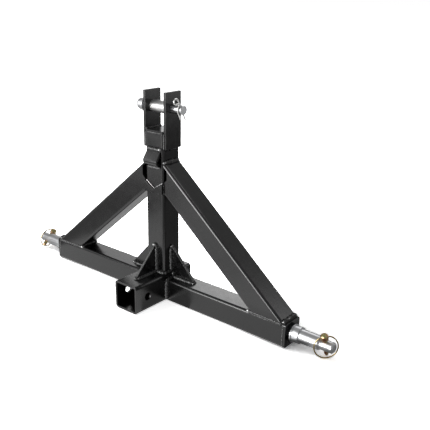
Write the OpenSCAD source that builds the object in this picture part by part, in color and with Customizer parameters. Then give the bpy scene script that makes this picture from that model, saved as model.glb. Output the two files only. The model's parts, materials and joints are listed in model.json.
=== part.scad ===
// Three-point receiver hitch for a small tractor: a welded A-frame of square tube
// with a receiver socket, two stepped lower hitch pins and a top link clevis.
// +X is the right-hand hitch pin, -Y the mouth of the receiver, +Z up.
// The origin lies on the underside of the receiver, straight below the mast.

/* [Receiver] */
// Outside width of the receiver tube
receiver_size = 63.5; // [62:0.1:66]
// Wall of the receiver tube, which leaves room for a 2 inch shank
receiver_wall = 4.8; // [4.5:0.05:6.2]
// Distance from the mast's centre to the mouth
receiver_front = 117; // [105:0.1:150]
// Distance from the mast's centre to the back end
receiver_back = 55; // [40:1:80]
// Hole for the hitch pin
hitch_hole_d = 17.2; // [16:0.1:18]
// Distance from the mouth to the hitch pin's centre
hitch_hole_setback = 34.4; // [25:0.1:45]

/* [Frame tube] */
// Outside width of the tube of the bar, mast and braces
tube_size = 50.8; // [49:0.1:52]
// Wall of that tube
tube_wall = 4.8; // [4:0.1:6]
// Outside corner radius of every tube
tube_corner = 6; // [5:0.1:7]

/* [Cross bar] */
// Width over the two end plates
bar_span = 683; // [660:1:720]
// Thickness of the end plates, ears and gussets
plate = 6.35; // [5:0.05:7]

/* [Mast and braces] */
// Height of the mast tube's top
mast_top = 371.5; // [360:0.5:385]
// Thickness of the cap that closes the mast
cap_thick = 5; // [3:0.5:8]
// Distance from the mast's top down to where a brace's upper edge meets it
brace_drop = 61; // [50:0.5:72]
// Width of the notch in a brace's front wall beside the mast
notch_w = 9.6; // [6:0.1:14]
// Height of the notch's lower corner above the brace's lower edge
notch_rise = 23; // [18:0.5:28]

/* [Tie plate] */
// Thickness of the tie plate on the mast's front
tie_thick = 5; // [3:0.5:7]
// Height of the tie plate at its sides
tie_side = 24; // [20:0.5:30]
// Height of the tie plate at the bottom of its V
tie_middle = 8.5; // [5:0.5:15]

/* [Gussets] */
// Length of the front gusset along the receiver
front_gusset_run = 59.6; // [45:0.1:75]
// Height of the front gusset above the receiver
front_gusset_rise = 60.5; // [45:0.5:75]
// Length of a side gusset, measured from the mast
side_gusset_run = 64.6; // [50:0.1:75]
// Height of a side gusset above the bar
side_gusset_rise = 69.2; // [55:0.1:80]
// Flat that cuts off the gussets' sharp tips
gusset_tip = 5; // [3:0.5:8]

/* [Chain loop] */
// Width of the strap that forms the loop
loop_w = 38; // [30:0.5:46]
// Thickness of the strap
loop_thick = 5.5; // [4:0.1:7]
// Height of the loop along the mast
loop_h = 39; // [35:0.5:44]
// How far the loop's nose stands out from the mast
loop_reach = 14.7; // [12:0.1:26]
// How far the loop's nose sits below the middle of its height
loop_sag = 5; // [0:0.1:6]
// Distance from the mast's top down to the loop's upper end
loop_drop = 34; // [28:0.5:40]
// Inner radius of the loop's nose
loop_bend = 3.2; // [2:0.1:4]

/* [Top link clevis] */
// Depth of an ear from front to back
ear_depth = 46; // [40:0.5:50]
// How far the ears reach down the mast's sides
ear_lap = 32; // [25:0.5:40]
// Height of the top link pin above the mast's top
top_pin_rise = 50.3; // [45:0.1:58]
// Height of the ears above the top link pin's axis
ear_head = 34.2; // [28:0.1:40]
// Diameter of the top link pin, Category 1
top_pin_d = 19.05; // [18:0.05:20]
// Outside diameter of the bushing, Category 2
bushing_d = 25.4; // [23:0.1:28]
// Gap between the bushing's ends and the ears
bushing_gap = 0.4; // [0.3:0.1:1]
// Free length of the top pin beyond the right ear
top_pin_tail = 28.75; // [25:0.25:35]
// Play between the pin's flange and the left ear
top_pin_play = 13.25; // [8:0.25:18]
// Diameter of the top pin's flange
top_flange_d = 29; // [26:0.5:34]
// Thickness of that flange
top_flange_thick = 4; // [2:0.5:6]
// Diameter of the pin's round head
top_head_d = 25; // [22:0.5:26]
// Length of that head
top_head_len = 17; // [12:0.5:22]

/* [Lower hitch pins] */
// Diameter of the inner, Category 2 length
lower_big_d = 28.58; // [27:0.01:30]
// Diameter of the outer, Category 1 length
lower_small_d = 22.22; // [21:0.01:23]
// Thickness of the lock washer behind the pin
washer_thick = 5; // [4:0.1:6]
// Diameter of the lock washer
washer_d = 31; // [29:0.5:36]
// Diameter of the thin rim next to the washer
rim_d = 38; // [36:0.5:42]
// Diameter of the collar
collar_d = 34; // [32:0.5:35]
// Length of rim and collar together
collar_len = 16; // [12:0.5:20]
// Length of the Category 2 step
big_len = 41; // [36:0.5:50]
// Length of the taper between the steps
taper_len = 5; // [3:0.5:8]
// Length of the Category 1 nose
nose_len = 26.5; // [25:0.5:32]
// Distance from the pin's end to its cross hole
cross_hole_back = 19.5; // [17:0.5:21]
// Thickness of the weld nut inside the bar
nut_thick = 19; // [15:0.5:24]
// Width across the flats of that nut
nut_flats = 33.3; // [31:0.1:36]

/* [Linch pins] */
// Diameter of the shank
linch_d = 9.52; // [8:0.01:10]
// Length of the shank below the lower pin's axis
linch_below = 25.2; // [22:0.1:25.5]
// Height of the ring's hinge above the lower pin's axis
linch_hinge = 20; // [19:0.1:21]
// Diameter of the head
linch_head_d = 15; // [13:0.5:15.5]
// Height of the head
linch_head_h = 13; // [10:0.5:14]
// Tilt of the right pin, its head towards the receiver's mouth
linch_tilt_right = 17.9; // [10:0.1:25]
// Tilt of the left pin, its head towards the back
linch_tilt_left = -49; // [-60:1:-40]
// Turn of the right ring about its pin
ring_turn_right = -46; // [-46:1:-30]
// Turn of the left ring about its pin
ring_turn_left = 186; // [176:1:190]
// Swing of the right ring away from the shank
ring_swing_right = 14; // [13:1:18]
// Swing of the left ring away from the shank
ring_swing_left = 8; // [6:1:14]
// Outside diameter of the ring
ring_d = 49; // [48:0.1:50]
// Diameter of the ring's wire
ring_wire = 3; // [2.5:0.1:3.2]

/* [Hair clip] */
// Diameter of the clip's wire
clip_wire = 3.2; // [2.5:0.1:3.5]
// Tilt of the clip's straight leg
clip_tilt = 28; // [15:1:40]
// Distance from the top pin's end to the clip
clip_back = 7; // [5:0.5:9]
// Length of the straight leg below the pin's axis
clip_leg = 24; // [18:0.5:30]
// Radius of the clip's eye
clip_eye = 6; // [5:0.5:7]
// Radius of the clip's waist
clip_waist = 3.6; // [3:0.1:4]
// Gap between the clip's bow and the top pin
clip_gap = 0.35; // [0.3:0.05:0.6]
// Length of the clip's tail below the pin's axis
clip_tail = 20; // [14:0.5:24]

/* [Hidden] */
$fn = 96;

// Radial clearance of every pin in its hole
running_fit = 0.08;
// Clearance of a stud in the hole of a plate, nut or washer
stud_gap = 0.3;
// Overshoot of every cutting tool
over = 1;
// Longer than any part of the frame
far = 900;
half_tube = tube_size / 2;
half_receiver = receiver_size / 2;
bar_end = bar_span / 2 - plate;
bar_axis_z = tube_size / 2;
pin_root = bar_span / 2;
pin_x = pin_root + washer_thick;
pin_end = pin_x + collar_len + big_len + taper_len + nose_len;
cross_hole_x = pin_end - cross_hole_back;
rim_thick = 2;
nose_chamfer = 3;
stud_d = lower_small_d - 0.02;
stud_len = washer_thick + plate + nut_thick + 4;
brace_foot_gap = 0.25;
brace_top = mast_top - brace_drop;
brace_rise = brace_top - tube_size;
brace_slope = atan(brace_rise / (bar_end - brace_foot_gap - half_tube));
brace_vertical = tube_size / cos(brace_slope);
brace_low = brace_top - brace_vertical;
brace_mid_x = bar_end / 2;
brace_mid_z = brace_top - brace_vertical / 2 - (brace_mid_x - half_tube) * tan(brace_slope);
loop_top = mast_top - loop_drop;
loop_nose_r = loop_bend + loop_thick;
ear_mid_x = half_tube + plate / 2;
ear_face = half_tube + plate;
top_pin_z = mast_top + top_pin_rise;
ear_top = top_pin_z + ear_head;
ear_bottom = mast_top - ear_lap;
clip_x = ear_face + top_pin_tail - clip_back;
// Height of the hinge above the ring's centre, as a share of the ring's radius
ring_hang = 0.883;
steel_black = [0.10, 0.10, 0.11];
zinc = [0.78, 0.79, 0.80];
yellow_zinc = [0.72, 0.58, 0.33];

// Square outline with round corners, centred
module round_square(size, corner) {
    square([size - 2 * corner, size], center = true);
    square([size, size - 2 * corner], center = true);
    for (x = [-1, 1], y = [-1, 1])
        translate([x * (size / 2 - corner), y * (size / 2 - corner)])
            circle(corner);
}

// Square tube along +Z
module square_tube(size, wall, corner, length) {
    linear_extrude(length)
        difference() {
            round_square(size, corner);
            round_square(size - 2 * wall, max(corner - wall, 1));
        }
}

// Swaps a right-hand piece to the left side
module on_side(side) {
    if (side > 0) children();
    else mirror([1, 0, 0]) children();
}

module receiver_tube() {
    color(steel_black)
        difference() {
            translate([0, receiver_back, half_receiver])
                rotate([90, 0, 0])
                    square_tube(receiver_size, receiver_wall, tube_corner + 1, receiver_front + receiver_back);
            translate([0, hitch_hole_setback - receiver_front, half_receiver])
                rotate([0, 90, 0])
                    cylinder(d = hitch_hole_d, h = receiver_size + 2 * over, center = true);
        }
}

module cross_bar(side) {
    color(steel_black)
        on_side(side)
            translate([half_receiver, 0, bar_axis_z])
                rotate([0, 90, 0])
                    square_tube(tube_size, tube_wall, tube_corner, bar_end - half_receiver);
}

module end_plate(side) {
    color(steel_black)
        on_side(side)
            translate([bar_end, 0, bar_axis_z])
                rotate([0, 90, 0])
                    linear_extrude(plate)
                        difference() {
                            round_square(tube_size, tube_corner - 1);
                            circle(d = stud_d + 2 * stud_gap);
                        }
}

module mast_tube() {
    color(steel_black)
        translate([0, 0, receiver_size])
            square_tube(tube_size, tube_wall, tube_corner, mast_top - receiver_size);
}

module mast_cap() {
    color(steel_black)
        translate([0, 0, mast_top])
            linear_extrude(cap_thick)
                round_square(tube_size, tube_corner);
}

// Opening in a brace's front wall that shows the inside of the tube beside the mast
module brace_notch() {
    inner_top = brace_top - tube_wall / cos(brace_slope);
    outer_x = half_tube + notch_w;
    low = brace_low + notch_rise;
    translate([0, -half_tube + tube_wall + over / 2, 0])
        rotate([90, 0, 0])
            linear_extrude(tube_wall + over)
                polygon([
                    [half_tube - over, low - over],
                    [outer_x, low + notch_w],
                    [outer_x, inner_top - notch_w * tan(brace_slope)],
                    [half_tube - over, inner_top + over * tan(brace_slope)]
                ]);
}

module brace(side) {
    color(steel_black)
        on_side(side)
            difference() {
                intersection() {
                    translate([brace_mid_x, 0, brace_mid_z])
                        rotate([0, 90 + brace_slope, 0])
                            translate([0, 0, -far / 2])
                                square_tube(tube_size, tube_wall, tube_corner, far);
                    translate([half_tube, -tube_size, tube_size])
                        cube([far, 2 * tube_size, far]);
                }
                brace_notch();
            }
}

module brace_tie_plate() {
    color(steel_black)
        translate([0, -half_tube, brace_low])
            rotate([90, 0, 0])
                linear_extrude(tie_thick)
                    polygon([
                        [-half_tube, 0],
                        [half_tube, 0],
                        [half_tube, tie_side],
                        [0, tie_middle],
                        [-half_tube, tie_side]
                    ]);
}

// Upright triangle with its right angle at the origin and its tips cut off
module gusset_outline(run, rise) {
    polygon([
        [0, 0],
        [run, 0],
        [run, gusset_tip],
        [gusset_tip, rise],
        [0, rise]
    ]);
}

module gusset_front() {
    color(steel_black)
        translate([-plate / 2, -half_tube, receiver_size])
            rotate([90, 0, -90])
                mirror([0, 0, 1])
                    linear_extrude(plate)
                        gusset_outline(front_gusset_run, front_gusset_rise);
}

module gusset_side(side) {
    color(steel_black)
        on_side(side)
            translate([0, plate / 2, 0])
                rotate([90, 0, 0])
                    linear_extrude(plate)
                        difference() {
                            translate([half_tube, tube_size])
                                gusset_outline(side_gusset_run, side_gusset_rise);
                            translate([0, half_receiver])
                                round_square(receiver_size, tube_corner + 1);
                        }
}

// Distance and angle helpers for a line that leaves a point and touches a circle
function reach(p, c) = norm(c - p);
function bearing(p, c) = atan2(c[1] - p[1], c[0] - p[0]);
function touch(p, c, r, turn) =
    let (a = bearing(p, c) + turn * asin(r / reach(p, c)))
    let (d = sqrt(reach(p, c) * reach(p, c) - r * r))
    p + d * [cos(a), sin(a)];

// Slope of the line that leaves a point and touches a circle
function touch_angle(p, c, r, turn) = bearing(p, c) + turn * asin(r / reach(p, c));

// Side view of the loop, drawn with the mast's face at x = 0 and the nose at +x
module loop_outline(r, high, low) {
    nose = [loop_reach - loop_nose_r, -loop_sag];
    intersection() {
        union() {
            translate(nose) circle(r);
            polygon([[0, low], touch([0, low], nose, r, -1), nose, touch([0, high], nose, r, 1), [0, high]]);
        }
        translate([0, low]) square([loop_reach, high - low]);
    }
}

module chain_loop() {
    nose = [loop_reach - loop_nose_r, -loop_sag];
    high = loop_h / 2;
    low = -loop_h / 2;
    inner_high = high - loop_thick / cos(touch_angle([0, high], nose, loop_nose_r, 1));
    inner_low = low + loop_thick / cos(touch_angle([0, low], nose, loop_nose_r, -1));
    color(steel_black)
        translate([-loop_w / 2, -half_tube, loop_top - loop_h / 2])
            rotate([90, 0, -90])
                mirror([0, 0, 1])
                    linear_extrude(loop_w)
                        difference() {
                            loop_outline(loop_nose_r, high, low);
                            loop_outline(loop_bend, inner_high, inner_low);
                        }
}

module clevis_ear(side) {
    color(steel_black)
        on_side(side)
            difference() {
                translate([half_tube, -ear_depth / 2, ear_bottom])
                    cube([plate, ear_depth, ear_top - ear_bottom]);
                translate([ear_mid_x, 0, top_pin_z])
                    rotate([0, 90, 0])
                        cylinder(d = top_pin_d + 2 * running_fit, h = plate + 2 * over, center = true);
            }
}

module top_bushing() {
    length = tube_size - 2 * bushing_gap;
    color(zinc)
        translate([0, 0, top_pin_z])
            rotate([0, 90, 0])
                difference() {
                    cylinder(d = bushing_d, h = length, center = true);
                    cylinder(d = top_pin_d + 2 * running_fit, h = length + 2 * over, center = true);
                }
}

// Round head of the top pin as a half outline, from its flange outwards
module head_outline() {
    r = top_head_d / 2;
    dome = r * 0.68;
    square([r, top_head_len - dome]);
    square([r - dome, top_head_len]);
    translate([r - dome, top_head_len - dome])
        intersection() {
            circle(dome);
            square(dome);
        }
}

module top_pin() {
    flange_x = -ear_face - top_pin_play;
    length = ear_face + top_pin_tail - flange_x;
    bevel = 1.2;
    color(zinc)
        difference() {
            translate([flange_x, 0, top_pin_z])
                rotate([0, 90, 0])
                    union() {
                        cylinder(d = top_pin_d, h = length - bevel);
                        translate([0, 0, length - bevel])
                            cylinder(d1 = top_pin_d, d2 = top_pin_d - 2 * bevel, h = bevel);
                        translate([0, 0, -top_flange_thick])
                            cylinder(d = top_flange_d, h = top_flange_thick);
                        translate([0, 0, -top_flange_thick])
                            mirror([0, 0, 1])
                                rotate_extrude()
                                    head_outline();
                    }
            translate([clip_x, 0, top_pin_z])
                rotate([clip_tilt, 0, 0])
                    cylinder(d = clip_wire + 2 * running_fit, h = 2 * top_pin_d, center = true);
        }
}

// Straight wire between two points of the drawing plane
module wire_rod(p, q, d) {
    translate([p[0], p[1], 0])
        rotate([0, 0, atan2(q[1] - p[1], q[0] - p[0])])
            rotate([0, 90, 0])
                cylinder(d = d, h = norm(q - p), $fn = 24);
}

// Round end or elbow of a wire, a little fuller than the wire itself
module wire_ball(p, d) {
    translate([p[0], p[1], 0])
        sphere(d = 1.04 * d, $fn = 24);
}

// Wire bent to an arc about a point, from one angle to another
module wire_arc(c, radius, from, to, d) {
    translate([c[0], c[1], 0])
        rotate([0, 0, from])
            rotate_extrude(angle = to - from, $fn = 72)
                translate([radius, 0])
                    circle(d = d, $fn = 24);
}

// Centre of a circle that lies left of the way from p to q and touches circles about both
function between(p, p_reach, q, q_reach) =
    let (d = norm(q - p))
    let (along = (p_reach * p_reach - q_reach * q_reach + d * d) / (2 * d))
    let (aside = sqrt(p_reach * p_reach - along * along))
    let (u = (q - p) / d)
    p + along * u + aside * [-u[1], u[0]];

// Points along an arc about c, without the first one
function arc_points(c, r, from, to, steps) = [
    for (i = [1 : steps])
        let (a = from + (to - from) * i / steps)
        c + r * [cos(a), sin(a)]
];

// Unit direction of a flat path at one of its points
function heading(points, i) =
    let (before = points[max(i - 1, 0)], after = points[min(i + 1, len(points) - 1)])
    (after - before) / norm(after - before);

// Wire swept along a flat list of points, with plain cut ends
module wire_path(points, d) {
    sides = 16;
    last = len(points) - 1;
    corners = [
        for (i = [0 : last])
            let (t = heading(points, i))
            for (k = [0 : sides - 1])
                let (a = 360 * k / sides, out = d / 2 * cos(a))
                [points[i][0] - t[1] * out, points[i][1] + t[0] * out, d / 2 * sin(a)]
    ];
    skin = [
        for (i = [0 : last - 1], k = [0 : sides - 1])
            let (next = (k + 1) % sides)
            [i * sides + k, i * sides + next, (i + 1) * sides + next, (i + 1) * sides + k]
    ];
    start_cap = [for (k = [0 : sides - 1]) sides - 1 - k];
    end_cap = [for (k = [0 : sides - 1]) last * sides + k];
    polyhedron(points = corners, faces = concat(skin, [start_cap, end_cap]), convexity = 6);
}

// The clip's path is tangent all the way: leg, eye, waist, bow round the top pin, tail
module hair_clip() {
    bow = top_pin_d / 2 + clip_wire / 2 + clip_gap;
    pin_axis = [0, 0];
    eye = [-clip_eye, bow + 2 * clip_eye];
    waist = between(pin_axis, bow + clip_waist, eye, clip_eye + clip_waist);
    to_eye = bearing(waist, eye);
    to_pin = bearing(waist, pin_axis);
    path = concat(
        [[0, -clip_leg], [0, eye[1]]],
        arc_points(eye, clip_eye, 0, 180 + to_eye, 15),
        arc_points(waist, clip_waist, to_eye, to_pin, 6),
        arc_points(pin_axis, bow, 180 + to_pin, 180, 4),
        [[-bow, -clip_tail]]
    );
    color(zinc)
        translate([clip_x, 0, top_pin_z])
            rotate([clip_tilt, 0, 0])
                rotate([90, 0, 90])
                    wire_path(path, clip_wire);
}

// Half outline of a lower pin, from its stud to its nose
module lower_pin_outline() {
    rim_r = rim_d / 2;
    collar_r = collar_d / 2;
    big_r = lower_big_d / 2;
    small_r = lower_small_d / 2;
    big_end = collar_len + big_len;
    small_start = big_end + taper_len;
    end = small_start + nose_len;
    polygon([
        [0, -stud_len],
        [stud_d / 2, -stud_len],
        [stud_d / 2, 0],
        [rim_r, 0],
        [rim_r, rim_thick],
        [collar_r, rim_thick],
        [collar_r, collar_len],
        [big_r, collar_len],
        [big_r, big_end],
        [small_r, small_start],
        [small_r, end - nose_chamfer],
        [small_r - nose_chamfer, end],
        [0, end]
    ]);
}

// Places a linch pin, its ring or its hole: +Z runs up the shank from the lower pin's axis
module at_cross_hole(side, tilt) {
    translate([side * cross_hole_x, 0, bar_axis_z])
        rotate([tilt, 0, 0])
            children();
}

module lower_pin(side, tilt) {
    color(zinc)
        difference() {
            on_side(side)
                translate([pin_x, 0, bar_axis_z])
                    rotate([0, 90, 0])
                        rotate_extrude()
                            lower_pin_outline();
            at_cross_hole(side, tilt)
                cylinder(d = linch_d + 2 * running_fit, h = 2 * lower_small_d, center = true);
        }
}

module lock_washer(side) {
    color(zinc)
        on_side(side)
            translate([pin_root, 0, bar_axis_z])
                rotate([0, 90, 0])
                    difference() {
                        cylinder(d = washer_d, h = washer_thick);
                        translate([0, 0, -over])
                            cylinder(d = stud_d + 2 * stud_gap, h = washer_thick + 2 * over);
                    }
}

module weld_nut(side) {
    color(zinc)
        on_side(side)
            translate([bar_end - nut_thick, 0, bar_axis_z])
                rotate([0, 90, 0])
                    difference() {
                        cylinder(d = nut_flats / cos(30), h = nut_thick, $fn = 6);
                        translate([0, 0, -over])
                            cylinder(d = stud_d + 2 * stud_gap, h = nut_thick + 2 * over);
                    }
}

// Half outline of a linch pin about its own axis
module linch_outline() {
    r = linch_d / 2;
    head_r = linch_head_d / 2;
    head_low = linch_hinge - linch_head_h / 2;
    head_high = linch_hinge + linch_head_h / 2;
    bevel = 2;
    point_len = 6;
    point_r = 2.6;
    polygon([
        [0, -linch_below],
        [point_r, -linch_below],
        [r, point_len - linch_below],
        [r, head_low],
        [head_r - bevel, head_low],
        [head_r, head_low + bevel],
        [head_r, head_high - bevel],
        [head_r - bevel, head_high],
        [0, head_high]
    ]);
}

module linch_pin(side, tilt, turn) {
    color(yellow_zinc)
        at_cross_hole(side, tilt)
            difference() {
                rotate_extrude()
                    linch_outline();
                translate([0, 0, linch_hinge])
                    rotate([90, 0, turn])
                        cylinder(d = ring_wire + 2 * running_fit, h = 2 * linch_head_d, center = true, $fn = 48);
            }
}

// The ring hangs from the hinge line at the origin, and its two ends turn in to the head
module linch_ring(side, tilt, turn, swing) {
    radius = (ring_d - ring_wire) / 2;
    drop = ring_hang * radius;
    half_gap = sqrt(radius * radius - drop * drop);
    end_angle = atan2(drop, half_gap);
    stub = 3;
    color(yellow_zinc)
        at_cross_hole(side, tilt)
            translate([0, 0, linch_hinge])
                rotate([0, 0, turn])
                    rotate([0, -swing, 0])
                        rotate([90, 0, 90])
                            union() {
                                wire_arc([0, -drop], radius, 180 - end_angle, 360 + end_angle, ring_wire);
                                for (s = [-1, 1]) {
                                    wire_ball([s * half_gap, 0], ring_wire);
                                    wire_rod([s * half_gap, 0], [s * stub, 0], ring_wire);
                                }
                            }
}

receiver_tube();
cross_bar(-1);  // cross_bar_left
cross_bar(1);  // cross_bar_right
end_plate(-1);  // end_plate_left
end_plate(1);  // end_plate_right
mast_tube();
mast_cap();
brace(-1);  // brace_left
brace(1);  // brace_right
brace_tie_plate();
gusset_front();
gusset_side(-1);  // gusset_left
gusset_side(1);  // gusset_right
chain_loop();
clevis_ear(-1);  // clevis_ear_left
clevis_ear(1);  // clevis_ear_right
top_bushing();
top_pin();
hair_clip();
lower_pin(-1, linch_tilt_left);  // lower_pin_left
lower_pin(1, linch_tilt_right);  // lower_pin_right
lock_washer(-1);  // lock_washer_left
lock_washer(1);  // lock_washer_right
weld_nut(-1);  // weld_nut_left
weld_nut(1);  // weld_nut_right
linch_pin(-1, linch_tilt_left, ring_turn_left);  // linch_pin_left
linch_pin(1, linch_tilt_right, ring_turn_right);  // linch_pin_right
linch_ring(-1, linch_tilt_left, ring_turn_left, ring_swing_left);  // linch_ring_left
linch_ring(1, linch_tilt_right, ring_turn_right, ring_swing_right);  // linch_ring_right
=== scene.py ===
# Three-point receiver hitch: materials, weld beads, studio and camera, in metres.
import json
import math
import random

import bpy
from mathutils import Matrix, Vector

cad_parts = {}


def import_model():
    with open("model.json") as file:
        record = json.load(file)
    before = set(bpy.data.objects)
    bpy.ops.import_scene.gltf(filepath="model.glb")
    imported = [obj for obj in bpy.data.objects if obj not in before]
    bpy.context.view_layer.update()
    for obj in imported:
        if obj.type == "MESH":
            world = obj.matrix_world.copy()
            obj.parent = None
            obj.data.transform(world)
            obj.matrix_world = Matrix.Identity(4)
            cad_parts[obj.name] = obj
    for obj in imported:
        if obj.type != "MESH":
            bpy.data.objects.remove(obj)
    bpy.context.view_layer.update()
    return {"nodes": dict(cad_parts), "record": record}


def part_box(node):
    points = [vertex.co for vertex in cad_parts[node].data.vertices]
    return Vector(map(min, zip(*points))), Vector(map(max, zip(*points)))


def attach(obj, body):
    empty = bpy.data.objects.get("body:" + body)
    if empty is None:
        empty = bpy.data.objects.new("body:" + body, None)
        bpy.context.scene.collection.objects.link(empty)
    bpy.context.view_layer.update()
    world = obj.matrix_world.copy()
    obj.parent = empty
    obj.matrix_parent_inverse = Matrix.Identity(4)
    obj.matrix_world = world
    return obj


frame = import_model()

MM = 0.001

# Boxes of the frame's pieces, each a lowest and a highest corner
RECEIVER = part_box("receiver_tube")
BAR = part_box("cross_bar_right")
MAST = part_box("mast_tube")
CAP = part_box("mast_cap")
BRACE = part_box("brace_right")
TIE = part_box("brace_tie_plate")
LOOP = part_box("chain_loop")
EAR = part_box("clevis_ear_right")
GUSSET_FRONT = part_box("gusset_front")
GUSSET_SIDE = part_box("gusset_right")

# Sizes and places that the welds follow
HALF_TUBE = MAST[1].x
HALF_RECEIVER = RECEIVER[1].x
HALF_PLATE = (EAR[1].x - EAR[0].x) / 2
TUBE_CORNER = 6 * MM
RECEIVER_TOP = RECEIVER[1].z
BAR_TOP = BAR[1].z
BAR_END = BAR[1].x

# A brace's upper edge runs from its top at the mast to its foot, its lower edge from its low to its heel
BRACE_TOP = BRACE[1].z
BRACE_FOOT = BRACE[1].x
BRACE_LOW = TIE[0].z
BRACE_SLOPE = (BRACE_TOP - BAR_TOP) / (BRACE_FOOT - HALF_TUBE)
BRACE_HEEL = HALF_TUBE + (BRACE_LOW - BAR_TOP) / BRACE_SLOPE

SIDES = ((1, "right"), (-1, "left"))
FACES = ((-1, "front"), (1, "back"))


def empty_material(name):
    """A node material without nodes, and its node tree."""
    mat = bpy.data.materials.new(name)
    mat.use_nodes = True
    mat.node_tree.nodes.clear()
    return mat, mat.node_tree


def new_material(name):
    """A material with its node tree and its Principled shader."""
    mat, tree = empty_material(name)
    out = tree.nodes.new("ShaderNodeOutputMaterial")
    shader = tree.nodes.new("ShaderNodeBsdfPrincipled")
    tree.links.new(shader.outputs["BSDF"], out.inputs["Surface"])
    return mat, tree, shader


def noise(tree, scale, detail=2.0, rough=0.5, stretch=(1, 1, 1)):
    """Noise over the object's own coordinates, in cycles per metre."""
    coord = tree.nodes.new("ShaderNodeTexCoord")
    mapping = tree.nodes.new("ShaderNodeMapping")
    mapping.inputs["Scale"].default_value = stretch
    tex = tree.nodes.new("ShaderNodeTexNoise")
    tex.inputs["Scale"].default_value = scale
    tex.inputs["Detail"].default_value = detail
    tex.inputs["Roughness"].default_value = rough
    tree.links.new(coord.outputs["Object"], mapping.inputs["Vector"])
    tree.links.new(mapping.outputs["Vector"], tex.inputs["Vector"])
    return tex.outputs["Fac"]


def ramp(tree, source, stops):
    """Colour ramp; stops are (position, colour)."""
    node = tree.nodes.new("ShaderNodeValToRGB")
    while len(node.color_ramp.elements) < len(stops):
        node.color_ramp.elements.new(0.5)
    for element, (place, colour) in zip(node.color_ramp.elements, stops):
        element.position = place
        element.color = (*colour, 1)
    tree.links.new(source, node.inputs["Fac"])
    return node.outputs["Color"]


def grey(value):
    """A colour without hue."""
    return (value, value, value)


def bump(tree, shader, height, strength, distance):
    """Adds a bump to the shader, after any bump that it already has."""
    node = tree.nodes.new("ShaderNodeBump")
    node.inputs["Strength"].default_value = strength
    node.inputs["Distance"].default_value = distance
    tree.links.new(height, node.inputs["Height"])
    if shader.inputs["Normal"].is_linked:
        before = shader.inputs["Normal"].links[0].from_socket
        tree.links.new(before, node.inputs["Normal"])
    tree.links.new(node.outputs["Normal"], shader.inputs["Normal"])


def black_coat():
    """Semi-gloss black powder coat with a fine orange peel."""
    mat, tree, shader = new_material("black_powder_coat")
    dark, pale = (0.0036, 0.0036, 0.0038), (0.0056, 0.0056, 0.0058)
    tint = ramp(tree, noise(tree, scale=35, detail=3), [(0.3, dark), (0.7, pale)])
    tree.links.new(tint, shader.inputs["Base Color"])
    gloss = ramp(tree, noise(tree, scale=60, detail=4, rough=0.6), [(0.3, grey(0.17)), (0.7, grey(0.25))])
    tree.links.new(gloss, shader.inputs["Roughness"])
    shader.inputs["IOR"].default_value = 1.52
    bump(tree, shader, noise(tree, scale=900, detail=1), strength=0.10, distance=0.3 * MM)
    bump(tree, shader, noise(tree, scale=90), strength=0.05, distance=1.0 * MM)
    return mat


def weld_coat():
    """The same coat over weld metal, where it is thicker and its gloss is broken."""
    mat, tree, shader = new_material("black_coat_on_weld")
    shader.inputs["Base Color"].default_value = (0.006, 0.006, 0.0062, 1)
    gloss = ramp(tree, noise(tree, scale=260), [(0.40, grey(0.10)), (0.52, grey(0.46))])
    tree.links.new(gloss, shader.inputs["Roughness"])
    shader.inputs["IOR"].default_value = 1.65
    bump(tree, shader, noise(tree, scale=210), strength=0.6, distance=1.2 * MM)
    return mat


def drop_coat():
    """Thick glossy coat on the drops at the ends of the beads."""
    mat, tree, shader = new_material("black_coat_on_drop")
    shader.inputs["Base Color"].default_value = (*grey(0.02), 1)
    shader.inputs["Roughness"].default_value = 0.22
    shader.inputs["IOR"].default_value = 3.2
    bump(tree, shader, noise(tree, scale=300), strength=0.4, distance=1.0 * MM)
    return mat


def turned_metal(name, colour, rough):
    """Bright steel with fine turning marks round the X axis."""
    mat, tree, shader = new_material(name)
    stained = tuple(0.94 * c for c in colour)
    tint = ramp(tree, noise(tree, scale=120, detail=4, rough=0.6), [(0.25, stained), (0.75, colour)])
    tree.links.new(tint, shader.inputs["Base Color"])
    shader.inputs["Metallic"].default_value = 1.0
    gloss = ramp(tree, noise(tree, scale=80, detail=3), [(0.3, grey(rough)), (0.7, grey(rough + 0.04))])
    tree.links.new(gloss, shader.inputs["Roughness"])
    marks = noise(tree, scale=1800, stretch=(1.0, 0.03, 0.03))
    bump(tree, shader, marks, strength=0.06, distance=0.1 * MM)
    return mat


def yellow_zinc(name, rough):
    """Yellow zinc plate, which shifts between straw, orange and green."""
    mat, tree, shader = new_material(name)
    stops = [
        (0.36, (0.30, 0.13, 0.09)),
        (0.46, (0.42, 0.24, 0.15)),
        (0.54, (0.46, 0.38, 0.19)),
        (0.64, (0.27, 0.28, 0.12)),
    ]
    tree.links.new(ramp(tree, noise(tree, scale=150), stops), shader.inputs["Base Color"])
    shader.inputs["Metallic"].default_value = 1.0
    shader.inputs["Roughness"].default_value = rough
    bump(tree, shader, noise(tree, scale=700), strength=0.08, distance=0.2 * MM)
    return mat


def plain_metal(name, colour, rough):
    """Bare or dull plated steel with small stains."""
    mat, tree, shader = new_material(name)
    stained = tuple(0.75 * c for c in colour)
    tint = ramp(tree, noise(tree, scale=200, detail=4), [(0.3, stained), (0.7, colour)])
    tree.links.new(tint, shader.inputs["Base Color"])
    shader.inputs["Metallic"].default_value = 1.0
    shader.inputs["Roughness"].default_value = rough
    bump(tree, shader, noise(tree, scale=900), strength=0.1, distance=0.2 * MM)
    return mat


WELD = weld_coat()
DROP = drop_coat()

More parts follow.
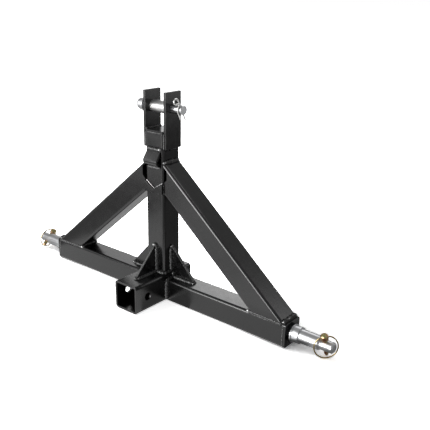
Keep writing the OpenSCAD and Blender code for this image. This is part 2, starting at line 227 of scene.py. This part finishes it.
# Finish of each material slot of the frame
FINISHES = {
    "black_coat": black_coat(),
    "zinc_pin": turned_metal("bright_zinc", (0.55, 0.555, 0.565), 0.28),
    "bushing_steel": turned_metal("turned_bushing", (0.52, 0.52, 0.515), 0.40),
    "washer_steel": plain_metal("dark_washer", (0.10, 0.10, 0.105), 0.45),
    "nut_steel": plain_metal("weld_nut_steel", (0.35, 0.35, 0.36), 0.5),
    "clip_wire": plain_metal("clip_zinc", (0.80, 0.80, 0.79), 0.26),
    "yellow_zinc": yellow_zinc("yellow_zinc", 0.28),
    "ring_wire": plain_metal("ring_zinc", (0.44, 0.35, 0.19), 0.3),
}

# Distance under which a node's corners become one, and the round of its crisp edges
CORNER_GAP = 0.005 * MM
EDGE_ROUND = 0.7 * MM
CRISP_DEGREES = 38


def dress_nodes():
    """Gives each CAD node its finish and smooth round faces with crisp edges."""
    slots = {row["node"]: row["material_slot"] for row in frame["record"]["subparts"]}
    for name, obj in frame["nodes"].items():
        obj.data.materials.clear()
        obj.data.materials.append(FINISHES[slots[name]])
        for poly in obj.data.polygons:
            poly.use_smooth = True
        weld = obj.modifiers.new("weld", "WELD")
        weld.merge_threshold = CORNER_GAP
        bevel = obj.modifiers.new("edges", "BEVEL")
        bevel.width = EDGE_ROUND
        bevel.segments = 2
        bevel.limit_method = "ANGLE"
        bevel.angle_limit = math.radians(CRISP_DEGREES)
        bevel.harden_normals = True
        bevel.use_clamp_overlap = True
        normals = obj.modifiers.new("flat_faces", "WEIGHTED_NORMAL")
        normals.mode = "FACE_AREA"
        normals.weight = 100


def weld_piece(name, corners, faces, finish):
    """Smooth mesh of weld metal that rides on the frame."""
    mesh = bpy.data.meshes.new(name)
    mesh.from_pydata([tuple(corner) for corner in corners], [], faces)
    for poly in mesh.polygons:
        poly.use_smooth = True
    mesh.materials.append(finish)
    obj = bpy.data.objects.new(name, mesh)
    bpy.context.collection.objects.link(obj)
    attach(obj, "frame")


# Ripples of a bead: their pitch, rings to a ripple, and corners to a ring
RIPPLE_PITCH = 3.4 * MM
FINE_PITCH = 2.4 * MM
RIPPLE_RINGS = 5
RING_CORNERS = 14

# Shape of a ripple: its least width and its rise, as shares of the bead's radius, and the power of its fall
RIPPLE_LOW = 0.86
RIPPLE_RISE = 0.28
RIPPLE_FALL = 0.7

# How far ripples differ in width and place, as shares of the radius, and the square of the width at an end
WIDTH_SPREAD = 0.16
PLACE_SPREAD = 0.10
END_SHARE = 0.15

# Directions that set where a ring's first corner lies; the spare one serves a bead along the first
RING_HINT = Vector((0.21, 0.37, 0.9))
SPARE_HINT = Vector((0.3, 0.9, 0.2))
PARALLEL = 1e-6


def square_to(tangent):
    """Two unit vectors square to a tangent and to each other."""
    side = tangent.cross(RING_HINT)
    if side.length < PARALLEL:
        side = tangent.cross(SPARE_HINT)
    side.normalize()
    return side, side.cross(tangent).normalized()


def spaced(points, step, closed):
    """Points about a step apart along a polyline, with their tangents."""
    chain = list(points) + ([points[0]] if closed else [])
    out = []
    for a, b in zip(chain, chain[1:]):
        length = (b - a).length
        count = max(1, round(length / step))
        for i in range(count):
            out.append((a.lerp(b, i / count), (b - a).normalized()))
    if not closed:
        out.append((chain[-1], (chain[-1] - chain[-2]).normalized()))
    return out


def ripple_rings(name, path, radius, step, closed):
    """Corners of the rings along a bead's path, widest where a ripple starts."""
    rng = random.Random(name)
    ripples = []
    for _ in range(0, len(path), RIPPLE_RINGS):
        width = 1.0 + rng.uniform(-WIDTH_SPREAD, WIDTH_SPREAD)
        sway = rng.uniform(-PLACE_SPREAD, PLACE_SPREAD) * radius
        lift = rng.uniform(-PLACE_SPREAD, PLACE_SPREAD) * radius
        ripples.append((width, sway, lift))
    corners = []
    for i, (centre, tangent) in enumerate(path):
        width, sway, lift = ripples[i // RIPPLE_RINGS]
        fall = (1.0 - (i % RIPPLE_RINGS) / (RIPPLE_RINGS - 1.0)) ** RIPPLE_FALL
        ripple = RIPPLE_LOW + RIPPLE_RISE * fall
        end = 1.0
        if not closed:
            from_end = min(i, len(path) - 1 - i) * step
            end = math.sqrt(min(1.0, END_SHARE + from_end / radius))
        side, up = square_to(tangent)
        middle = centre + side * sway + up * lift
        for k in range(RING_CORNERS):
            turn = 2 * math.pi * k / RING_CORNERS
            spoke = side * math.cos(turn) + up * math.sin(turn)
            corners.append(middle + spoke * radius * width * ripple * end)
    return corners


def tube_faces(rings, sides, closed):
    """Faces of a tube of rings, with flat ends where it isn't closed."""
    faces = []
    for i in range(rings if closed else rings - 1):
        j = (i + 1) % rings
        for k in range(sides):
            m = (k + 1) % sides
            faces.append((i * sides + k, i * sides + m, j * sides + m, j * sides + k))
    if not closed:
        faces.append(tuple(reversed(range(sides))))
        faces.append(tuple((rings - 1) * sides + k for k in range(sides)))
    return faces


def bead(name, points, radius, pitch=RIPPLE_PITCH, closed=False, finish=WELD):
    """Weld bead: overlapping ripples along a line of points, half sunk in the corner."""
    step = pitch / RIPPLE_RINGS
    path = spaced([Vector(p) for p in points], step, closed)
    corners = ripple_rings(name, path, radius, step, closed)
    weld_piece(name, corners, tube_faces(len(path), RING_CORNERS, closed), finish)


def ball(rows, sides):
    """Corners and faces of a round ball of radius 1."""
    corners = [Vector((0, 0, 1))]
    for i in range(1, rows):
        tilt = math.pi * i / rows
        for k in range(sides):
            turn = 2 * math.pi * k / sides
            wide = math.sin(tilt)
            corners.append(Vector((wide * math.cos(turn), wide * math.sin(turn), math.cos(tilt))))
    corners.append(Vector((0, 0, -1)))
    faces = [(0, 1 + k, 1 + (k + 1) % sides) for k in range(sides)]
    for i in range(rows - 2):
        for k in range(sides):
            a, b = 1 + i * sides, 1 + (i + 1) * sides
            faces.append((a + k, b + k, b + (k + 1) % sides, a + (k + 1) % sides))
    last = len(corners) - 1
    start = 1 + (rows - 2) * sides
    faces += [(last, start + (k + 1) % sides, start + k) for k in range(sides)]
    return corners, faces


def drop(name, place, size):
    """Uneven round end of a bead, which catches the light."""
    rng = random.Random(name)
    stretch = Vector((rng.uniform(0.8, 1.3), rng.uniform(0.8, 1.3), rng.uniform(0.7, 1.1)))
    corners, faces = ball(rows=9, sides=14)
    weld_piece(name, [Vector(place) + corner * stretch * size for corner in corners], faces, DROP)


def front_to_back(x, reach, z):
    """Ends of a line along Y, as far in front of the middle as behind it."""
    return [(x, -reach, z), (x, reach, z)]


def left_to_right(reach, y, z):
    """Ends of a line along X, as far left of the middle as right of it."""
    return [(-reach, y, z), (reach, y, z)]


def bar_arch(x, sunk):
    """Points over the front, the top and the back of the bar at one place along it."""
    low = 4 * MM
    shoulder = BAR_TOP - TUBE_CORNER
    corner = HALF_TUBE - TUBE_CORNER
    face = HALF_TUBE - sunk
    top = BAR_TOP - sunk
    return [
        (x, -face, low), (x, -face, shoulder), (x, -corner, top),
        (x, corner, top), (x, face, shoulder), (x, face, low),
    ]


def tube_outline(half, corner, z):
    """Points round the outside of an upright square tube at one height."""
    parts = 4
    points = []
    for quarter, (sx, sy) in enumerate(((1, 1), (-1, 1), (-1, -1), (1, -1))):
        for part in range(parts + 1):
            turn = math.radians(quarter * 90 + part * 90 / parts)
            x = sx * (half - corner) + corner * math.cos(turn)
            y = sy * (half - corner) + corner * math.sin(turn)
            points.append((x, y, z))
    return points


def bar_welds(side, tag):
    """Beads at the root of one half of the bar and along the seam of its end plate."""
    bead("weld_bar_root_" + tag, bar_arch(side * HALF_RECEIVER, 0), 5.6 * MM)
    bead("weld_end_plate_" + tag, bar_arch(side * BAR_END, 0.9 * MM), 1.6 * MM, pitch=2.2 * MM)


def brace_welds(side, tag):
    """Beads at the foot and the shoulder of one brace."""
    foot_y = HALF_TUBE - 2.4 * MM
    foot_z = BAR_TOP - 1.6 * MM
    shoulder = HALF_TUBE - 2.2 * MM
    for face, word in FACES:
        bead("weld_foot_%s_%s" % (word, tag), [
            (side * (BRACE_HEEL - 4 * MM), face * foot_y, foot_z + 1 * MM),
            (side * BRACE_FOOT, face * foot_y, foot_z),
        ], 3.8 * MM)
        top = BRACE_TOP if face > 0 else TIE[1].z
        bead("weld_shoulder_%s_%s" % (word, tag), [
            (side * shoulder, face * shoulder, BRACE_LOW),
            (side * shoulder, face * shoulder, top),
        ], 3.6 * MM)
    mast = side * HALF_TUBE
    heel = side * BRACE_HEEL
    toe = side * (BRACE_FOOT - 0.5 * MM)
    reach = HALF_TUBE - 3 * MM
    bead("weld_heel_" + tag, front_to_back(heel, reach, BAR_TOP), 4.6 * MM)
    bead("weld_toe_" + tag, front_to_back(toe, reach, BAR_TOP + 1 * MM), 5.2 * MM)
    bead("weld_brace_top_" + tag, front_to_back(mast, reach, BRACE_TOP), 5.0 * MM)
    bead("weld_brace_low_" + tag, front_to_back(mast, reach, BRACE_LOW), 4.2 * MM)


def gusset_welds(side, tag):
    """Beads along the mast, the bar and the receiver's side of one side gusset."""
    mast = side * HALF_TUBE
    root = side * HALF_RECEIVER
    start = side * (HALF_RECEIVER + 2 * MM)
    run = side * GUSSET_SIDE[1].x
    rise = GUSSET_SIDE[1].z
    for face, word in FACES:
        y = face * HALF_PLATE
        tags = "%s_%s" % (word, tag)
        bead("weld_gusset_up_" + tags, [(mast, y, RECEIVER_TOP - 1 * MM), (mast, y, rise)], 5.2 * MM)
        bead("weld_gusset_out_" + tags, [(start, y, BAR_TOP), (run, y, BAR_TOP)], 5.0 * MM)
        bead("weld_gusset_step_" + tags, [(root, y, BAR_TOP), (root, y, RECEIVER_TOP)], 4.0 * MM)
    reach = HALF_PLATE + 2 * MM
    bead("weld_gusset_tip_" + tag, front_to_back(mast, reach, rise), 4.8 * MM)
    bead("weld_gusset_end_" + tag, front_to_back(run, reach, BAR_TOP), 4.4 * MM)


def ear_welds(side, tag):
    """Beads round one ear of the clevis, on the mast and on its cap."""
    seam = side * (HALF_TUBE + 0.4 * MM)
    mast = side * HALF_TUBE
    reach = EAR[1].y
    for face, word in FACES:
        y = face * reach
        bead("weld_ear_%s_%s" % (word, tag), [(seam, y, EAR[0].z), (seam, y, CAP[0].z)],
             1.8 * MM, pitch=FINE_PITCH)
    bead("weld_ear_low_" + tag, front_to_back(mast, reach - 3 * MM, EAR[0].z), 4.0 * MM)
    bead("weld_cap_ear_" + tag, front_to_back(mast, reach, CAP[1].z), 3.0 * MM)


def mast_welds():
    """Beads round the mast's foot and along the front gusset."""
    bead("weld_mast_root", tube_outline(HALF_TUBE, TUBE_CORNER, RECEIVER_TOP), 4.6 * MM, closed=True)
    tip = GUSSET_FRONT[0].y
    rise = GUSSET_FRONT[1].z
    for side, tag in reversed(SIDES):
        x = side * HALF_PLATE
        corner = (x, -HALF_TUBE, RECEIVER_TOP)
        bead("weld_front_gusset_up_" + tag, [corner, (x, -HALF_TUBE, rise)], 5.4 * MM)
        bead("weld_front_gusset_out_" + tag, [corner, (x, tip, RECEIVER_TOP)], 5.0 * MM)
    reach = HALF_PLATE + 2 * MM
    bead("weld_front_gusset_tip", left_to_right(reach, -HALF_TUBE, rise), 5.0 * MM)
    bead("weld_front_gusset_end", left_to_right(reach, tip, RECEIVER_TOP), 4.0 * MM)


def plate_welds():
    """Beads of the chain loop, the tie plate and the mast's cap."""
    wide = LOOP[1].x
    bead("weld_loop_top", [
        (-wide, -HALF_TUBE, LOOP[1].z),
        (wide + 1 * MM, -HALF_TUBE, LOOP[1].z),
    ], 4.8 * MM)
    bead("weld_loop_low", left_to_right(wide, -HALF_TUBE, LOOP[0].z), 2.4 * MM)
    reach = HALF_TUBE - 2 * MM
    dip = TIE[0].z + 8.5 * MM
    bead("weld_tie_top", [
        (-reach, -HALF_TUBE, TIE[1].z),
        (0, -HALF_TUBE, dip),
        (reach, -HALF_TUBE, TIE[1].z),
    ], 1.5 * MM, finish=DROP)
    bead("weld_tie_low", left_to_right(reach, -HALF_TUBE, TIE[0].z), 1.6 * MM)
    reach = HALF_TUBE - 5 * MM
    for face, word in FACES:
        y = face * (HALF_TUBE - 0.6 * MM)
        bead("weld_cap_" + word, left_to_right(reach, y, CAP[0].z), 1.4 * MM, pitch=FINE_PITCH)


def front_drops():
    """Shiny drops on the front of the mast."""
    drop("drop_loop_right", (LOOP[1].x - 1 * MM, -HALF_TUBE - 1.5 * MM, LOOP[1].z + 1.5 * MM), 4.6 * MM)
    drop("drop_loop_left", (-LOOP[1].x + 2 * MM, -HALF_TUBE - 1 * MM, LOOP[1].z + 2 * MM), 2.0 * MM)
    drop("drop_front_gusset", (-1 * MM, -HALF_TUBE - 2 * MM, GUSSET_FRONT[1].z + 2 * MM), 4.4 * MM)


def side_drops(side, tag):
    """Shiny drops on the gusset and the brace of one side."""
    drops = (
        ("drop_gusset_", HALF_TUBE + 1.5 * MM, -2 * MM, GUSSET_SIDE[1].z + 1 * MM, 3.0 * MM),
        ("drop_gusset_end_", GUSSET_SIDE[1].x, -HALF_PLATE - 1 * MM, BAR_TOP + 1 * MM, 2.6 * MM),
        ("drop_heel_", BRACE_HEEL - 4 * MM, -HALF_TUBE + 3 * MM, BAR_TOP, 4.2 * MM),
        ("drop_toe_", BRACE_FOOT - 1 * MM, -HALF_TUBE + 5 * MM, BAR_TOP + 2 * MM, 3.0 * MM),
        ("drop_toe_mid_", BRACE_FOOT + 1 * MM, -4 * MM, BAR_TOP + 3.5 * MM, 2.6 * MM),
        ("drop_toe_back_", BRACE_FOOT - 1 * MM, HALF_TUBE - 8 * MM, BAR_TOP + 4 * MM, 2.4 * MM),
        ("drop_brace_top_", HALF_TUBE + 1 * MM, -HALF_TUBE + 3 * MM, BRACE_TOP + 1 * MM, 4.4 * MM),
        ("drop_brace_mid_", HALF_TUBE + 1.5 * MM, 2 * MM, BRACE_TOP + 1 * MM, 2.4 * MM),
    )
    for name, x, y, z, size in drops:
        drop(name + tag, (side * x, y, z), size)


def math_node(tree, operation, *values):
    """Math node over sockets and plain numbers."""
    node = tree.nodes.new("ShaderNodeMath")
    node.operation = operation
    for socket, value in zip(node.inputs, values):
        if isinstance(value, (int, float)):
            socket.default_value = value
        else:
            tree.links.new(value, socket)
    return node.outputs[0]


def map_range(tree, source, start, finish, most=1.0):
    """Rises evenly from 0 at start to its most at finish."""
    node = tree.nodes.new("ShaderNodeMapRange")
    node.inputs["From Min"].default_value = start
    node.inputs["From Max"].default_value = finish
    node.inputs["To Min"].default_value = 0.0
    node.inputs["To Max"].default_value = most
    tree.links.new(source, node.inputs["Value"])
    return node.outputs["Result"]


def world_place(tree):
    """Place in the world of the point that is shaded, and its X."""
    place = tree.nodes.new("ShaderNodeNewGeometry").outputs["Position"]
    split = tree.nodes.new("ShaderNodeSeparateXYZ")
    tree.links.new(place, split.inputs[0])
    return place, split.outputs["X"]


def glow_material(name, level):
    """Shining material; level is one number, or stops of (X in the world, level)."""
    mat, tree = empty_material(name)
    out = tree.nodes.new("ShaderNodeOutputMaterial")
    glow = tree.nodes.new("ShaderNodeEmission")
    tree.links.new(glow.outputs["Emission"], out.inputs["Surface"])
    if isinstance(level, (int, float)):
        glow.inputs["Strength"].default_value = level
        return mat
    start, finish = level[0][0], level[-1][0]
    brightest = max(value for _, value in level)
    along = map_range(tree, world_place(tree)[1], start, finish)
    stops = [((x - start) / (finish - start), grey(value / brightest)) for x, value in level]
    strength = math_node(tree, "MULTIPLY", ramp(tree, along, stops), brightest)
    tree.links.new(strength, glow.inputs["Strength"])
    return mat


# Place of the upright cards behind the hitch, and height of the cards over the floor
BACK_Y = 2.0
CARD_LIFT = 1 * MM


def card(name, corners, level):
    """Flat card that only reflections see."""
    mesh = bpy.data.meshes.new(name)
    mesh.from_pydata(corners, [], [tuple(range(len(corners)))])
    obj = bpy.data.objects.new(name, mesh)
    bpy.context.collection.objects.link(obj)
    mesh.materials.append(glow_material(name, level))
    obj.visible_camera = False
    obj.visible_diffuse = False
    obj.visible_shadow = False


def back_card(name, left, right, low, high, level):
    """Upright card behind the hitch."""
    corners = [(left, BACK_Y, low), (right, BACK_Y, low), (right, BACK_Y, high), (left, BACK_Y, high)]
    card(name, corners, level)


def low_card(name, outline, level):
    """Card just over the floor; its outline holds points (X, Y)."""
    card(name, [(x, y, CARD_LIFT) for x, y in outline], level)


# Floor: its half size, how far it lies under the hitch, and its tone for light and for the camera
FLOOR_HALF = 30
FLOOR_DROP = 0.4 * MM
FLOOR_WHITE = 0.25
FLOOR_SEEN = 1.95

# Distances from the middle of the hitch between which the camera sees the floor turn plain white
FAR_START = 0.38
FAR_WHITE = 0.56

# Distances from the YZ plane between which the camera's floor turns paler by painted light that clears the
# hitch's shadow under its middle, and how much paler
MIDDLE_START = 0.30
MIDDLE_PALE = 0.20
MIDDLE_PAINTED_LIGHT = 0.6


def floor():
    """White floor that shows as white to the camera and in reflections; it keeps the hitch's shadow near the
    bar's ends, and painted light clears that shadow under the middle for the camera.
    """
    mesh = bpy.data.meshes.new("floor")
    corners = [(x * FLOOR_HALF, y * FLOOR_HALF, 0) for x, y in ((-1, -1), (1, -1), (1, 1), (-1, 1))]
    mesh.from_pydata(corners, [], [(0, 1, 2, 3)])
    obj = bpy.data.objects.new("floor", mesh)
    bpy.context.collection.objects.link(obj)
    obj.location.z = -FLOOR_DROP
    mat, tree = empty_material("studio_floor")
    ray = tree.nodes.new("ShaderNodeLightPath")
    tint = tree.nodes.new("ShaderNodeMix")
    tint.data_type = "RGBA"
    tint.inputs["A"].default_value = (*grey(FLOOR_WHITE), 1)
    tint.inputs["B"].default_value = (*grey(FLOOR_SEEN), 1)
    tree.links.new(ray.outputs["Is Camera Ray"], tint.inputs["Factor"])
    diffuse = tree.nodes.new("ShaderNodeBsdfDiffuse")
    tree.links.new(tint.outputs["Result"], diffuse.inputs["Color"])
    place, x = world_place(tree)
    distance = tree.nodes.new("ShaderNodeVectorMath")
    distance.operation = "LENGTH"
    tree.links.new(place, distance.inputs[0])
    far = map_range(tree, distance.outputs["Value"], FAR_START, FAR_WHITE)
    # Painted light for the camera under the middle of the hitch, which clears its shadow there
    middle = map_range(tree, math_node(tree, "ABSOLUTE", x), MIDDLE_START, MIDDLE_PALE, MIDDLE_PAINTED_LIGHT)
    pale = math_node(tree, "MAXIMUM", far, middle)
    seen = math_node(tree, "MULTIPLY", pale, ray.outputs["Is Camera Ray"])
    level = math_node(tree, "MAXIMUM", seen, ray.outputs["Is Glossy Ray"])
    glow = tree.nodes.new("ShaderNodeEmission")
    tree.links.new(level, glow.inputs["Strength"])
    both = tree.nodes.new("ShaderNodeAddShader")
    tree.links.new(diffuse.outputs[0], both.inputs[0])
    tree.links.new(glow.outputs[0], both.inputs[1])
    out = tree.nodes.new("ShaderNodeOutputMaterial")
    tree.links.new(both.outputs[0], out.inputs["Surface"])
    mesh.materials.append(mat)


# Level of the world as light; the camera sees it as plain white
WORLD_LEVEL = 0.40


def world():
    """Even white world."""
    sky = bpy.data.worlds.new("studio")
    bpy.context.scene.world = sky
    sky.use_nodes = True
    tree = sky.node_tree
    tree.nodes.clear()
    out = tree.nodes.new("ShaderNodeOutputWorld")
    background = tree.nodes.new("ShaderNodeBackground")
    background.inputs["Color"].default_value = (1, 1, 1, 1)
    ray = tree.nodes.new("ShaderNodeLightPath")
    level = tree.nodes.new("ShaderNodeMix")
    level.inputs["A"].default_value = WORLD_LEVEL
    level.inputs["B"].default_value = 1.0
    tree.links.new(ray.outputs["Is Camera Ray"], level.inputs["Factor"])
    tree.links.new(level.outputs["Result"], background.inputs["Strength"])
    tree.links.new(background.outputs[0], out.inputs["Surface"])


# Key lamp: its place, what it points at, its width in metres and its power in watts
KEY_PLACE = Vector((-1.5, -0.35, 1.8))
KEY_TARGET = Vector((0, 0, 0.05))
KEY_SIZE = 1.2
KEY_WATTS = 34


def key_lamp():
    """Soft lamp from the upper left, which reflections don't see."""
    data = bpy.data.lights.new("key", "AREA")
    data.shape = "SQUARE"
    data.size = KEY_SIZE
    data.energy = KEY_WATTS
    obj = bpy.data.objects.new("key", data)
    bpy.context.collection.objects.link(obj)
    obj.location = KEY_PLACE
    obj.rotation_mode = "QUATERNION"
    obj.rotation_quaternion = (KEY_TARGET - KEY_PLACE).to_track_quat("-Z", "Y")
    obj.visible_glossy = False


def upright_cards():
    """Cards that stand round the hitch, which show in its faces and on its edges."""
    back_card("bar_top_card", -4.6, -0.95, 0.8, 1.65,
              [(-4.6, 1.2), (-3.2, 0.9), (-2.0, 1.4), (-1.6, 2.8), (-0.95, 3.6)])
    back_card("high_back_card", -2.8, -0.4, 1.7, 3.0, 2.1)
    card("front_strip", [(-2.0, -2.3, 0.02), (-0.25, -2.9, 0.02), (-0.25, -2.9, 1.1), (-2.0, -2.3, 1.1)],
         [(-2.0, 3.0), (-1.2, 14.0), (-0.6, 16.0), (-0.25, 10.0)])
    card("front_strip_right", [(-0.25, -2.9, 0.02), (0.7, -2.8, 0.02), (0.7, -2.8, 1.1), (-0.25, -2.9, 1.1)],
         10.0)
    card("front_wall", [(-2.3, -2.2, 1.1), (0.9, -2.9, 1.1), (0.9, -2.5, 2.5), (-2.3, -1.8, 2.5)],
         [(-2.3, 1.1), (-1.6, 2.3), (0.9, 2.5)])
    card("left_wall", [(-2.3, -2.2, 0.9), (-2.3, -1.9, 2.3), (-3.0, -1.0, 2.3), (-3.0, -1.2, 0.9)],
         1.1)
    card("high_card", [(0.55, 0.9, 2.0), (0.95, 0.9, 2.0), (0.95, 0.5, 2.15), (0.55, 0.5, 2.15)],
         7.0)


def right_cards():
    """Cards low in front and on the right, and one far behind, which show in the right faces; the side card
    and the receiver card bring painted shade into those reflections.
    """
    # Dark card that stands in for the floor on the right in reflections; its dip from x 0.35 to 0.375 is a
    # painted shadow of the end plate and the pin
    low_card("side_card", [
        (0.045, -0.018), (0.336, -0.018), (0.348, -0.07), (1.5, -0.07),
        (2.4, 1.0), (1.72, 1.88), (0.4, 2.6), (0.045, 0.6),
    ], [
        (0.045, 0.26), (0.33, 0.22), (0.35, 0.06), (0.375, 0.10), (0.385, 0.5),
        (0.40, 0.45), (0.415, 0.18), (0.47, 0.22), (1.0, 0.14), (1.6, 0.20),
    ])
    # Painted contact shade on the floor beside the receiver, seen in reflections of its side
    low_card("receiver_painted_shade_card", [(0.034, -0.10), (0.075, -0.06), (0.10, -0.019), (0.034, -0.019)], 0.40)
    low_card("near_card", [(0.02, -0.30), (0.05, -0.125), (0.27, -0.125), (0.27, -0.17), (0.12, -0.30)],
             [(0.02, 1.2), (0.27, 1.7)])
    low_card("corner_card", [
        (0.42, -0.08), (0.30, -0.19), (0.16, -0.33), (0.05, -0.50),
        (0.05, -2.5), (2.5, -2.5), (2.5, -0.08),
    ], 0.45)
    back_card("back_right_card", 1.15, 1.9, 1.2, 1.95, [(1.15, 0.4), (1.35, 1.5), (1.6, 3.2), (1.9, 3.2)])


def left_cards():
    """Cards behind the hitch and on its left, which show in its front faces and under its braces."""
    low_card("under_card", [(-0.42, 0.05), (-0.03, 0.05), (-0.03, 0.35), (-0.42, 0.35)], 0.68)
    card("front_gusset_card",
         [(-0.5, -0.29, 0.58), (-0.5, -0.33, 0.68), (-0.5, -0.48, 0.56), (-0.5, -0.44, 0.46)],
         6.0)
    low_card("far_left_card", [
        (-0.85, -0.92), (-1.25, -0.92), (-1.7, -1.35), (-1.7, -1.6), (-0.85, -1.3),
    ], 0.6)
    low_card("mast_foot_card", [
        (-0.12, -0.15), (-0.32, -0.24), (-0.32, -0.38), (-0.18, -0.38), (-0.06, -0.22),
    ], 1.35)
    low_card("left_card", [
        (-1.1, -0.15), (-1.1, -0.66), (-0.5, -0.66), (-0.4, -0.48), (-0.4, -0.15),
        (-0.4, -0.03), (-0.35, -0.03), (-0.35, 0.3), (-1.1, 0.3),
    ], 0.42)


def camera():
    """Camera fitted to the photograph: its place, turn and lens come from the fit."""
    place = Vector((0.91614, -0.96029, 0.65270))
    yaw, pitch, roll = 0.678625, 0.339705, 0.01774
    focal_px = 645.78
    centre_px = Vector((214.00, 216.39))
    frame_px = 430.0
    forward = Vector((-math.sin(yaw) * math.cos(pitch), math.cos(yaw) * math.cos(pitch), -math.sin(pitch)))
    level = Vector((math.cos(yaw), math.sin(yaw), 0))
    upright = level.cross(forward)
    right = math.cos(roll) * level + math.sin(roll) * upright
    up = -math.sin(roll) * level + math.cos(roll) * upright
    data = bpy.data.cameras.new("camera")
    data.sensor_width = 36
    data.lens = focal_px * data.sensor_width / frame_px
    data.shift_x = (frame_px / 2 - centre_px.x) / frame_px
    data.shift_y = (centre_px.y - frame_px / 2) / frame_px
    obj = bpy.data.objects.new("camera", data)
    bpy.context.collection.objects.link(obj)
    turn = Matrix((right, up, -forward)).transposed().to_4x4()
    obj.matrix_world = Matrix.Translation(place) @ turn
    bpy.context.scene.camera = obj


bpy.context.scene.view_settings.view_transform = "Standard"
camera()
dress_nodes()
for side, tag in SIDES:
    bar_welds(side, tag)
    brace_welds(side, tag)
    gusset_welds(side, tag)
    ear_welds(side, tag)
mast_welds()
plate_welds()
front_drops()
for side, tag in SIDES:
    side_drops(side, tag)
world()
floor()
key_lamp()
upright_cards()
right_cards()
left_cards()
